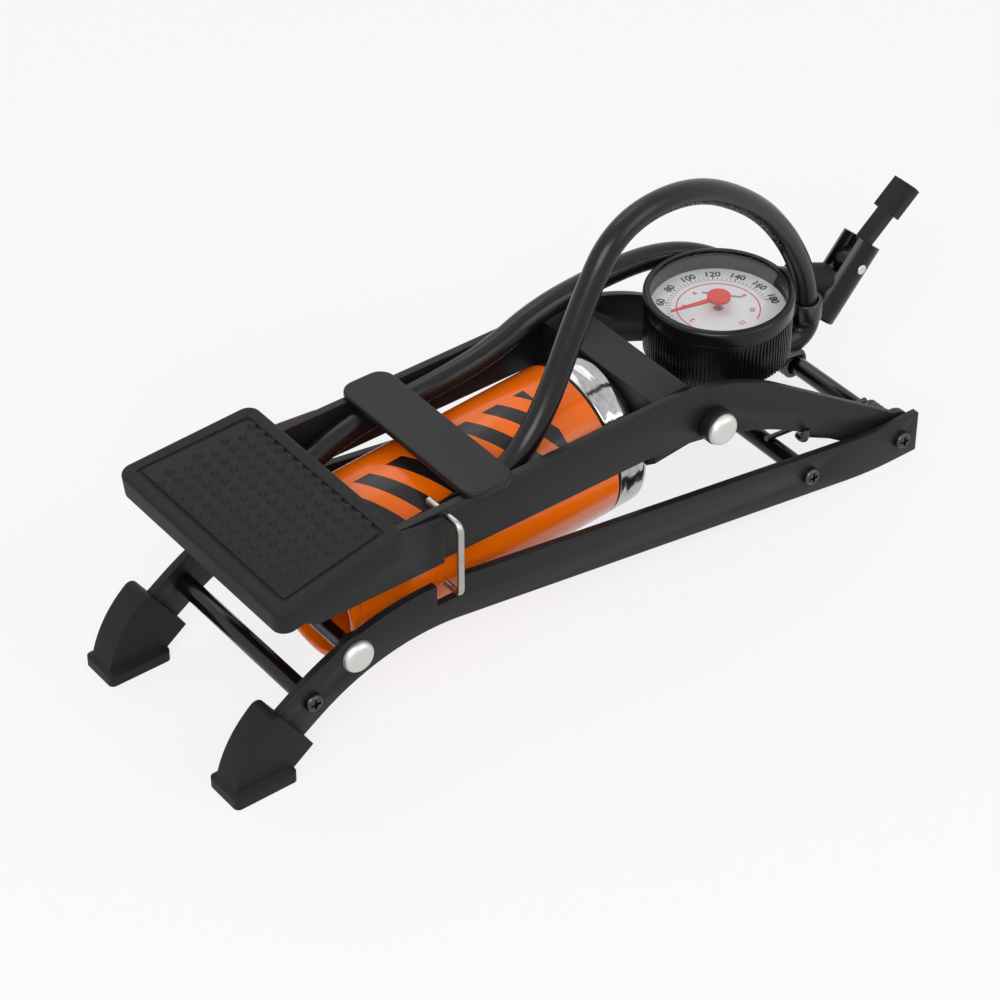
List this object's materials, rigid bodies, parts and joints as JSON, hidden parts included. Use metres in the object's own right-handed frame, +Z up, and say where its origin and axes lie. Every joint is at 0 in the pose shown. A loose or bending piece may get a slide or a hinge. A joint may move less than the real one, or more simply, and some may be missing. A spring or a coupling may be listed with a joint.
{
  "type": "foot bike pump with gauge",
  "caption": "Folded foot pump for bicycle tyres: latched pedal frame over a tilting barrel, round pressure gauge, stowed hose and lever chuck.",
  "frame": {"origin": "on the floor under the middle of the folded pump, without its hose and chuck", "axes": "+X from the pedal end to the hinge end, +Y to the left side, +Z up"},
  "size_m": [0.3391, 0.0946, 0.1429],
  "materials": {
    "frame_paint": "satin black powder coat",
    "barrel_paint": "gloss orange lacquer",
    "bright_chrome": "polished",
    "zinc_plate": "bright zinc plate",
    "dark_steel": "blackened, lightly oiled",
    "black_rubber": "matt moulded rubber",
    "black_plastic": "fine moulded texture",
    "piston_plastic": "natural moulded plastic",
    "clear_lens": "clear",
    "dial_white": "white, printed scale",
    "needle_red": "satin red",
    "brass": "turned"
  },
  "bodies": {
    "base": {"base_rail_left": "frame_paint", "base_rail_right": "frame_paint", "front_cross_tube": "frame_paint", "middle_cross_tube": "frame_paint", "hinge_axle": "frame_paint", "frame_screws": "dark_steel", "front_pivot_rivets": "zinc_plate", "foot_boot_left": "black_rubber", "foot_boot_right": "black_rubber", "return_spring_left": "dark_steel", "return_spring_right": "dark_steel"},
    "pedal_frame": {"pedal_arm_left": "frame_paint", "pedal_arm_right": "frame_paint", "pedal_pan": "frame_paint", "pedal_pad": "black_rubber", "pedal_strap": "frame_paint", "rear_pivot_pin": "zinc_plate", "pivot_spacers": "black_plastic", "hose": "black_rubber", "chuck_body": "black_plastic", "chuck_neck": "black_rubber", "chuck_seal": "black_rubber", "chuck_lever_pin": "zinc_plate"},
    "cylinder": {"barrel": "barrel_paint", "barrel_end_ring": "barrel_paint", "head_cap": "bright_chrome", "head_gasket": "black_rubber", "check_valve_disc": "black_rubber", "head_yoke": "frame_paint", "outlet_block": "frame_paint", "hose_elbow": "black_plastic", "hose_ferrule": "dark_steel", "gauge_stem": "brass", "gauge_case": "black_plastic", "gauge_bezel": "black_plastic", "gauge_lens": "clear_lens", "gauge_dial": "dial_white", "bourdon_tube": "brass", "gauge_movement": "brass"},
    "needle": {"gauge_needle": "needle_red"},
    "piston": {"piston_rod": "zinc_plate", "piston_head": "piston_plastic", "piston_cup": "black_rubber", "piston_nut": "zinc_plate", "rod_end_pin": "zinc_plate"},
    "latch": {"latch_wire": "zinc_plate"},
    "chuck_lock": {"chuck_lever": "black_plastic"}
  },
  "joints": [
    {"name": "pedal_lift", "type": "hinge", "parent": "base", "child": "pedal_frame", "pos_m": [0.145, 0, 0.0085], "axis": [0, 1, 0], "range_deg": [0, 45], "deforming": ["return_spring_left", "return_spring_right", "hose"]},
    {"name": "cylinder_swing", "type": "hinge", "parent": "pedal_frame", "child": "cylinder", "pos_m": [0.0563, 0, 0.0549], "axis": [0, -1, 0], "range_deg": [0, 58.5]},
    {"name": "rod_slide", "type": "slide", "parent": "cylinder", "child": "piston", "axis": [-0.9973, 0, -0.0732], "range_m": [0, 0.066]},
    {"name": "needle_turn", "type": "hinge", "parent": "cylinder", "child": "needle", "pos_m": [0.0875, 0, 0.0739], "axis": [0, 0, -1], "range_deg": [0, 270]},
    {"name": "latch_swing", "type": "hinge", "parent": "pedal_frame", "child": "latch", "pos_m": [-0.0585, -0.033, 0.0703], "axis": [0, 1, 0], "range_deg": [0, 10]},
    {"name": "chuck_lever_turn", "type": "hinge", "parent": "pedal_frame", "child": "chuck_lock", "pos_m": [0.15742, 0.0077, 0.05664], "axis": [0, 1, 0], "range_deg": [0, 90]}
  ],
  "couplings": [
    {"joint": "cylinder_swing", "follows": "pedal_lift", "ratio": 1.295},
    {"joint": "rod_slide", "follows": "pedal_lift", "m_per_rad": 0.083}
  ]
}
